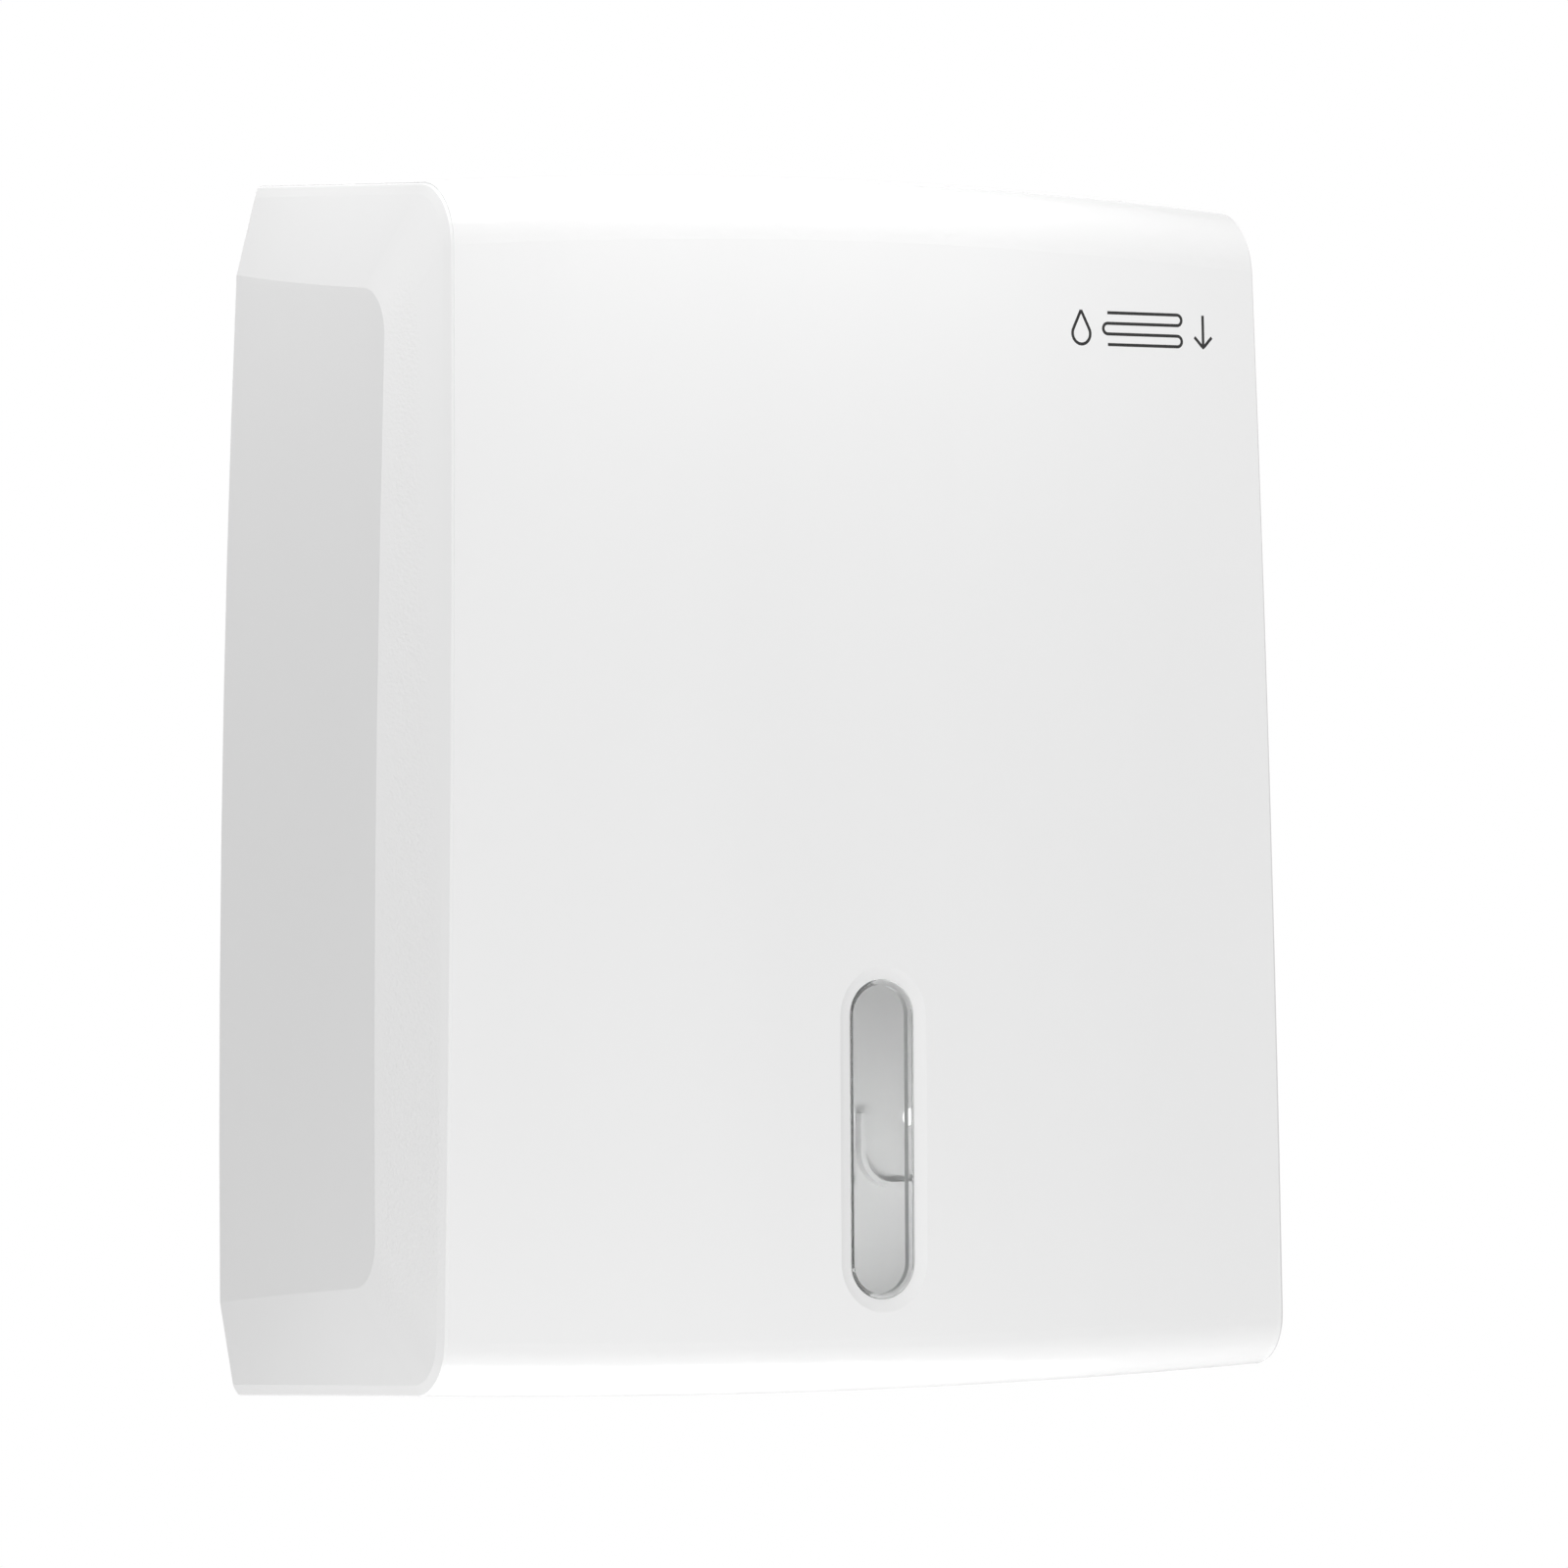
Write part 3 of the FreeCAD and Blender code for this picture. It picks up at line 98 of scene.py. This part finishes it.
def add_world():
    """White backdrop for the camera; for the rest a soft room, bright in front and at the backdrop."""
    world = bpy.data.worlds.new("studio")
    bpy.context.scene.world = world
    world.use_nodes = True
    tree = world.node_tree
    tree.nodes.clear()
    link = tree.links.new

    def maths(operation, first, second):
        node = tree.nodes.new("ShaderNodeMath")
        node.operation = operation
        for socket, value in zip(node.inputs, (first, second)):
            if isinstance(value, float):
                socket.default_value = value
            else:
                link(value, socket)
        return node.outputs[0]

    output = tree.nodes.new("ShaderNodeOutputWorld")
    backdrop = tree.nodes.new("ShaderNodeBackground")
    backdrop.inputs["Color"].default_value = WHITE
    room = tree.nodes.new("ShaderNodeBackground")
    room.inputs["Color"].default_value = WHITE
    coordinates = tree.nodes.new("ShaderNodeTexCoord")

    def along(axis):
        node = tree.nodes.new("ShaderNodeVectorMath")
        node.operation = "DOT_PRODUCT"
        node.inputs[1].default_value = axis
        link(coordinates.outputs["Generated"], node.inputs[0])
        return node.outputs["Value"]

    forward, _ = camera_axes()
    behind = maths("POWER", maths("MAXIMUM", along(forward), 0.0), BACKDROP_FOCUS)
    beside = maths("MAXIMUM", maths("ADD", along(ROOM_LEAN), ROOM_BASE), 0.0)
    level = maths("ADD", beside, maths("MULTIPLY", behind, BACKDROP_GAIN))
    link(level, room.inputs["Strength"])
    path = tree.nodes.new("ShaderNodeLightPath")
    mix = tree.nodes.new("ShaderNodeMixShader")
    link(path.outputs["Is Camera Ray"], mix.inputs["Fac"])
    link(room.outputs[0], mix.inputs[1])
    link(backdrop.outputs[0], mix.inputs[2])
    link(mix.outputs[0], output.inputs["Surface"])


def add_floor():
    mesh = bpy.data.meshes.new("floor")
    sides = [(-1, -1), (1, -1), (1, 1), (-1, 1)]
    corners = [(x * FLOOR_REACH, y * FLOOR_REACH, FLOOR_Z) for x, y in sides]
    mesh.from_pydata(corners, [], [(0, 1, 2, 3)])
    floor = bpy.data.objects.new("floor", mesh)
    bpy.context.scene.collection.objects.link(floor)
    material, _, shader = new_material("studio_floor")
    shader.inputs["Base Color"].default_value = (FLOOR_GREY, FLOOR_GREY, FLOOR_GREY, 1)
    shader.inputs["Roughness"].default_value = FLOOR_ROUGHNESS
    mesh.materials.append(material)


# ---------------------------------------------------------------- material building blocks
BEVEL_BEGINS_X = (0.1335, 0.1355)       # the leathery grain fades in over these distances
BEVEL_BEGINS_Y = (-0.099, -0.092)
BEVEL_ENDS_Z = (0.125, 0.150)
LEATHER_SCALE = 1100.0                  # waves per metre, as for every noise below
LEATHER_HEIGHT = 0.0002
PLASTIC_IOR = 1.53
LENS_IOR = 1.25                         # low, so that the wall plate shows through with little shift
MOTTLE_SCALE = 9.0
MOTTLE_STRETCH = (1, 1, 0.35)           # along the flow of the melt
GLOSS_SCALE = 45.0
RIPPLE_SCALE = 14.0
FINE_BUMP = 0.00001
PLATING_SCALE = 160.0
TOOL_MARK_SCALE = 900.0
LENS_HAZE_SCALE = 60.0
LENS_RIPPLE_SCALE = 35.0
LENS_RIPPLE_HEIGHT = 0.00004
RUBBER_DUST_SCALE = 500.0
RUBBER_DUST_HEIGHT = 0.00003
INK_COVER_SCALE = 900.0
NOISE_RANGE = (0.3, 0.7)                # nearly all of a noise's values lie between these
RAMP_ENDS = (0.35, 0.65)


def new_material(name):
    material = bpy.data.materials.new(name)
    material.use_nodes = True
    tree = material.node_tree
    return material, tree, tree.nodes["Principled BSDF"]


def object_noise(tree, scale, detail=3.0, stretch=(1, 1, 1)):
    """Noise in the part's own frame; scale is in waves per metre. Returns its value socket."""
    coordinates = tree.nodes.new("ShaderNodeTexCoord")
    mapping = tree.nodes.new("ShaderNodeMapping")
    mapping.inputs["Scale"].default_value = stretch
    noise = tree.nodes.new("ShaderNodeTexNoise")
    noise.inputs["Scale"].default_value = scale
    noise.inputs["Detail"].default_value = detail
    tree.links.new(coordinates.outputs["Object"], mapping.inputs["Vector"])
    tree.links.new(mapping.outputs["Vector"], noise.inputs["Vector"])
    return noise.outputs["Fac"]


def spread(tree, value, low, high, source=NOISE_RANGE):
    """Map a value from the source range onto the range low to high."""
    ranged = tree.nodes.new("ShaderNodeMapRange")
    ranged.inputs["From Min"].default_value = source[0]
    ranged.inputs["From Max"].default_value = source[1]
    ranged.inputs["To Min"].default_value = low
    ranged.inputs["To Max"].default_value = high
    tree.links.new(value, ranged.inputs["Value"])
    return ranged.outputs["Result"]


def colour_between(tree, value, first, second):
    """Colour that drifts between two near tones with a noise value."""
    ramp = tree.nodes.new("ShaderNodeValToRGB")
    for element, position, colour in zip(ramp.color_ramp.elements, RAMP_ENDS, (first, second)):
        element.position = position
        element.color = (*colour, 1)
    tree.links.new(value, ramp.inputs["Fac"])
    return ramp.outputs["Color"]


def bump(tree, value, distance, below=None):
    """Bump of that height in metres, on top of another one."""
    node = tree.nodes.new("ShaderNodeBump")
    node.inputs["Distance"].default_value = distance
    tree.links.new(value, node.inputs["Height"])
    if below:
        tree.links.new(below, node.inputs["Normal"])
    return node.outputs["Normal"]


def front_bevel_mask(tree):
    """One on the bevels between the cover's front edges and its side panels, nought elsewhere."""

    def maths(operation, *values):
        node = tree.nodes.new("ShaderNodeMath")
        node.operation = operation
        for socket, value in zip(node.inputs, values):
            tree.links.new(value, socket)
        return node.outputs[0]

    coordinates = tree.nodes.new("ShaderNodeTexCoord")
    split = tree.nodes.new("ShaderNodeSeparateXYZ")
    tree.links.new(coordinates.outputs["Object"], split.inputs[0])
    beside = spread(tree, maths("ABSOLUTE", split.outputs["X"]), 0.0, 1.0, BEVEL_BEGINS_X)
    before = spread(tree, split.outputs["Y"], 1.0, 0.0, BEVEL_BEGINS_Y)
    upright = spread(tree, maths("ABSOLUTE", split.outputs["Z"]), 1.0, 0.0, BEVEL_ENDS_Z)
    return maths("MULTIPLY", maths("MULTIPLY", beside, before), upright)


def moulded_plastic(name, light, dark, roughness, grain, ripple_height, leathery=False):
    """Injection-moulded plastic: slight flow mottling, uneven gloss, fine grain and a long ripple.

    grain is the fine grain's waves per metre and height.
    """
    material, tree, shader = new_material(name)
    link = tree.links.new
    mottle = object_noise(tree, MOTTLE_SCALE, 4.0, MOTTLE_STRETCH)
    link(colour_between(tree, mottle, dark, light), shader.inputs["Base Color"])
    gloss = object_noise(tree, GLOSS_SCALE, 5.0)
    link(spread(tree, gloss, *roughness), shader.inputs["Roughness"])
    ripple = bump(tree, object_noise(tree, RIPPLE_SCALE, 1.0), ripple_height)
    grain_scale, grain_height = grain
    normal = bump(tree, object_noise(tree, grain_scale, 2.0), grain_height, ripple)
    if leathery:
        normal = bump(tree, object_noise(tree, LEATHER_SCALE, 1.0), LEATHER_HEIGHT, normal)
        link(front_bevel_mask(tree), normal.node.inputs["Strength"])
    link(normal, shader.inputs["Normal"])
    shader.inputs["IOR"].default_value = PLASTIC_IOR
    return material


def turned_metal(name, light, dark, roughness, brush_stretch):
    """Plated steel with fine tool marks and cloudy plating."""
    material, tree, shader = new_material(name)
    link = tree.links.new
    cloud = object_noise(tree, PLATING_SCALE, 4.0)
    link(colour_between(tree, cloud, dark, light), shader.inputs["Base Color"])
    marks = object_noise(tree, TOOL_MARK_SCALE, 3.0, brush_stretch)
    link(spread(tree, marks, *roughness), shader.inputs["Roughness"])
    link(bump(tree, marks, FINE_BUMP), shader.inputs["Normal"])
    shader.inputs["Metallic"].default_value = 1.0
    return material


def clear_plastic(name):
    """Clear polished lens: faint moulding ripple, uneven polish, and open to lamps."""
    material, tree, shader = new_material(name)
    link = tree.links.new
    output = tree.nodes["Material Output"]
    haze = object_noise(tree, LENS_HAZE_SCALE, 4.0)
    tint = colour_between(tree, haze, (0.968, 0.98, 0.974), (0.985, 0.99, 0.988))
    link(tint, shader.inputs["Base Color"])
    link(spread(tree, haze, 0.01, 0.05), shader.inputs["Roughness"])
    link(bump(tree, object_noise(tree, LENS_RIPPLE_SCALE, 1.0), LENS_RIPPLE_HEIGHT), shader.inputs["Normal"])
    shader.inputs["Transmission Weight"].default_value = 1.0
    shader.inputs["IOR"].default_value = LENS_IOR
    open_shader = tree.nodes.new("ShaderNodeBsdfTransparent")
    open_shader.inputs["Color"].default_value = (0.97, 0.98, 0.975, 1)
    path = tree.nodes.new("ShaderNodeLightPath")
    mix = tree.nodes.new("ShaderNodeMixShader")
    link(path.outputs["Is Shadow Ray"], mix.inputs["Fac"])
    link(shader.outputs["BSDF"], mix.inputs[1])
    link(open_shader.outputs["BSDF"], mix.inputs[2])
    link(mix.outputs["Shader"], output.inputs["Surface"])
    return material


def rubber(name):
    """Dull dark rubber with a bloom of dust."""
    material, tree, shader = new_material(name)
    link = tree.links.new
    dust = object_noise(tree, RUBBER_DUST_SCALE, 4.0)
    tone = colour_between(tree, dust, (0.025, 0.025, 0.026), (0.06, 0.06, 0.06))
    link(tone, shader.inputs["Base Color"])
    link(spread(tree, dust, 0.6, 0.85), shader.inputs["Roughness"])
    link(bump(tree, dust, RUBBER_DUST_HEIGHT), shader.inputs["Normal"])
    return material


def printed_ink(name):
    """Black pad-printing ink that covers slightly unevenly."""
    material, tree, shader = new_material(name)
    link = tree.links.new
    cover = object_noise(tree, INK_COVER_SCALE, 3.0)
    tone = colour_between(tree, cover, (0.012, 0.012, 0.012), (0.022, 0.022, 0.022))
    link(tone, shader.inputs["Base Color"])
    link(spread(tree, cover, 0.3, 0.45), shader.inputs["Roughness"])
    link(bump(tree, cover, FINE_BUMP), shader.inputs["Normal"])
    return material


# ---------------------------------------------------------------- printed pictogram
PRINT_CENTRE = Vector((0.0899, 0, 0.1304))
STROKE_RADIUS = 0.45 * MM
INK_HEIGHT = 0.04 * MM
MARK_SPACING = 21.0             # from the sheet's centre to the drop's and the arrow's, in millimetres
SHEET_LAYERS = 4
SHEET_PITCH = 3.0
SHEET_HALF_WIDTH = 12.0
DROP_TIP = (0, 5.0)
DROP_CENTRE = (0, -1.6)
DROP_RADIUS = 3.0
ARROW_HALF_LENGTH = 4.6
ARROW_BARB = 3.0
RAY_START = 0.3                 # rays at the cover start this far before the wall


def arc_points(centre, radius, start, end, steps=10):
    """Points on an arc, angles in degrees, in the pictogram's plane and in millimetres."""
    turns = [math.radians(start + (end - start) * i / steps) for i in range(steps + 1)]
    return [(centre[0] + radius * math.cos(t), centre[1] + radius * math.sin(t)) for t in turns]


def folded_sheet_stroke():
    """A sheet folded back and forth, seen from its edge."""
    points = []
    for i in range(SHEET_LAYERS):
        level = SHEET_PITCH * ((SHEET_LAYERS - 1) / 2 - i)
        side = 1 if i % 2 == 0 else -1
        points.append((-side * SHEET_HALF_WIDTH, level))
        if i < SHEET_LAYERS - 1:
            centre = (side * SHEET_HALF_WIDTH, level - SHEET_PITCH / 2)
            points += arc_points(centre, SHEET_PITCH / 2, 90, 90 - side * 180)
    points.append((side * SHEET_HALF_WIDTH, level))
    return points


def drop_stroke():
    """A water drop."""
    return [DROP_TIP] + arc_points(DROP_CENTRE, DROP_RADIUS, 150, 390, 20) + [DROP_TIP]


def arrow_strokes():
    """A downward arrow, the way the towel is pulled."""
    tip = (0, -ARROW_HALF_LENGTH)
    barb_z = ARROW_BARB - ARROW_HALF_LENGTH
    return [[(0, ARROW_HALF_LENGTH), tip], [(-ARROW_BARB, barb_z), tip, (ARROW_BARB, barb_z)]]


def even_steps(points, step=0.8):
    """The same stroke with no doubled points and none further apart than step."""
    result = [Vector(points[0])]
    for point in points[1:]:
        start = result[-1]
        end = Vector(point)
        count = math.ceil((end - start).length / step)
        result += [start.lerp(end, i / count) for i in range(1, count + 1)]
    return result


def add_print():
    """Pad-printed line pictogram in the front's upper right, laid on the cover's surface."""
    strokes = [[(x - MARK_SPACING, z) for x, z in drop_stroke()], folded_sheet_stroke()]
    strokes += [[(x + MARK_SPACING, z) for x, z in stroke] for stroke in arrow_strokes()]
    curve = bpy.data.curves.new("print_mark", "CURVE")
    curve.dimensions = "3D"
    curve.bevel_depth = STROKE_RADIUS
    curve.bevel_resolution = 2
    curve.use_fill_caps = True
    for stroke in [even_steps(points) for points in strokes]:
        spline = curve.splines.new("POLY")
        spline.points.add(len(stroke) - 1)
        for point, (x, z) in zip(spline.points, stroke):
            point.co = (x * MM, 0, z * MM, 1)
    carrier = bpy.data.objects.new("print_curve", curve)
    bpy.context.scene.collection.objects.link(carrier)
    bpy.context.view_layer.update()
    depsgraph = bpy.context.evaluated_depsgraph_get()
    mesh = bpy.data.meshes.new_from_object(carrier.evaluated_get(depsgraph))
    bpy.data.objects.remove(carrier)

    cover = nodes["front_cover"]
    corners = [vertex.co for vertex in cover.data.vertices]
    surface = BVHTree.FromPolygons(corners, [polygon.vertices for polygon in cover.data.polygons])
    for vertex in mesh.vertices:
        x = vertex.co.x + PRINT_CENTRE.x
        z = vertex.co.z + PRINT_CENTRE.z
        hit, _, _, _ = surface.ray_cast(Vector((x, -RAY_START, z)), Vector((0, 1, 0)))
        lift = -vertex.co.y / STROKE_RADIUS * INK_HEIGHT
        vertex.co = (x, hit.y - lift, z)
    mesh.shade_smooth()
    mesh.materials.append(printed_ink("printed_ink"))
    piece = bpy.data.objects.new("print_mark", mesh)
    bpy.context.scene.collection.objects.link(piece)
    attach(piece, "cover")


# ---------------------------------------------------------------- materials of the CAD nodes
def paint(material, *names):
    for name in names:
        mesh = nodes[name].data
        mesh.materials.clear()
        mesh.materials.append(material)


def grey(level):
    return (level, level, level)


def paint_nodes():
    paint(
        moulded_plastic("cover_gloss", grey(0.865), grey(0.85), (0.10, 0.16), (2200.0, 0.000004), 0.00002,
                        leathery=True),
        "front_cover",
    )
    paint(
        moulded_plastic("satin_white", grey(0.86), grey(0.83), (0.42, 0.55), (1600.0, 0.00002), 0.00002),
        "back_plate", "outlet_tray", "paper_guide_left", "paper_guide_right", "window_retainer",
    )
    nylon_light = (0.74, 0.72, 0.66)
    nylon_dark = (0.68, 0.66, 0.60)
    paint(
        moulded_plastic("nylon", nylon_light, nylon_dark, (0.35, 0.5), (1500.0, 0.00001), 0.00001),
        "hinge_bush_left", "hinge_bush_right",
    )
    paint(clear_plastic("lens_clear"), "window_lens")
    paint(
        turned_metal("zinc_plate", (0.62, 0.63, 0.64), (0.50, 0.51, 0.53), (0.28, 0.42), (1, 1, 1)),
        "window_screws", "tray_screws", "guide_screws", "keeper_screws",
        "cam_screw", "cam_washer", "lock_washer", "lock_nut", "lock_cam", "lock_keeper",
        "hinge_pin_left", "hinge_pin_right",
    )
    paint(
        turned_metal("nickel", (0.72, 0.72, 0.71), (0.64, 0.64, 0.63), (0.10, 0.2), (0.1, 0.1, 1)),
        "lock_housing",
    )
    paint(
        turned_metal("lock_steel", grey(0.60), (0.46, 0.46, 0.47), (0.22, 0.35), (1, 1, 0.1)),
        "lock_plug",
    )
    paint(rubber("stud_rubber"), "cover_buffers")


# ---------------------------------------------------------------- scene
add_camera()
add_world()
add_floor()
for lamp in LAMPS:
    add_softbox(*lamp)
paint_nodes()
add_print()
bpy.context.scene.view_settings.view_transform = "Standard"
